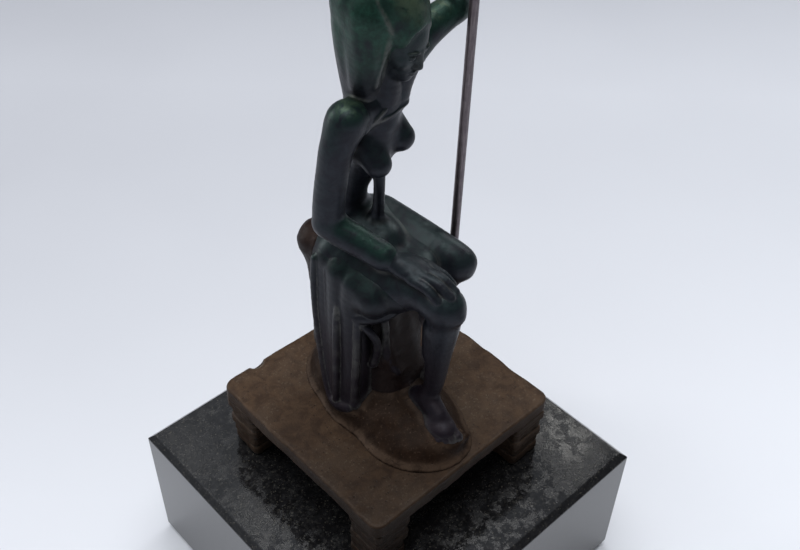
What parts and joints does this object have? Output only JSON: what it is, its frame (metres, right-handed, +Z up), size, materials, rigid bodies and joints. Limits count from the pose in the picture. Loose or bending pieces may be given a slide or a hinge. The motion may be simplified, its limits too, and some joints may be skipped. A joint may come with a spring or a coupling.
{
  "type": "figure trophy",
  "caption": "Award statuette: a seated draped bronze figure holding a lift-out staff, on a four-legged cast table plinth screwed to a square polished granite block.",
  "frame": {"origin": "centre of the granite block's footprint, on the surface the trophy stands on", "axes": "+Z up, along the staff and the figure; -Y is the front, the way the figure faces; +X is the figure's left, the staff side"},
  "size_m": [0.13, 0.13, 0.2871],
  "materials": {
    "granite": "polished black speckled granite",
    "felt": "matt felt",
    "steel": "plain zinc-plated steel",
    "bronze_brown": "brown patinated cast bronze, slightly pitted",
    "bronze_green": "blue-green patina over dark cast bronze, waxed",
    "bronze_dark": "near-black patinated cast bronze, waxed",
    "staff_metal": "drawn rod with a dull purple-brown patina"
  },
  "bodies": {
    "trophy": {"granite_block": "granite", "felt_pad_1": "felt", "felt_pad_2": "felt", "felt_pad_3": "felt", "felt_pad_4": "felt", "block_screw_1": "steel", "block_screw_2": "steel", "block_screw_3": "steel", "block_screw_4": "steel", "block_screw_washer_1": "steel", "block_screw_washer_2": "steel", "block_screw_washer_3": "steel", "block_screw_washer_4": "steel", "figure_stud_1": "steel", "figure_stud_2": "steel", "figure_stud_washer_1": "steel", "figure_stud_washer_2": "steel", "figure_stud_nut_1": "steel", "figure_stud_nut_2": "steel", "staff_socket_nut": "steel", "plinth_leg_front_left": "bronze_brown", "plinth_leg_front_right": "bronze_brown", "plinth_leg_back_left": "bronze_brown", "plinth_leg_back_right": "bronze_brown", "plinth_slab": "bronze_brown", "rock_base": "bronze_brown", "rock_seat": "bronze_brown", "skirt_drape": "bronze_green", "right_arm": "bronze_green", "left_arm": "bronze_green", "hair": "bronze_green", "right_leg": "bronze_dark", "left_leg": "bronze_dark", "torso": "bronze_dark", "right_hand": "bronze_dark", "left_hand": "bronze_dark", "head": "bronze_dark", "staff_socket": "staff_metal"},
    "staff": {"staff": "staff_metal", "staff_finial": "staff_metal"}
  },
  "joints": [
    {"name": "staff_lift", "type": "slide", "parent": "trophy", "child": "staff", "axis": [0.0187, 0, 0.9998], "range_m": [0, 0.175]}
  ]
}
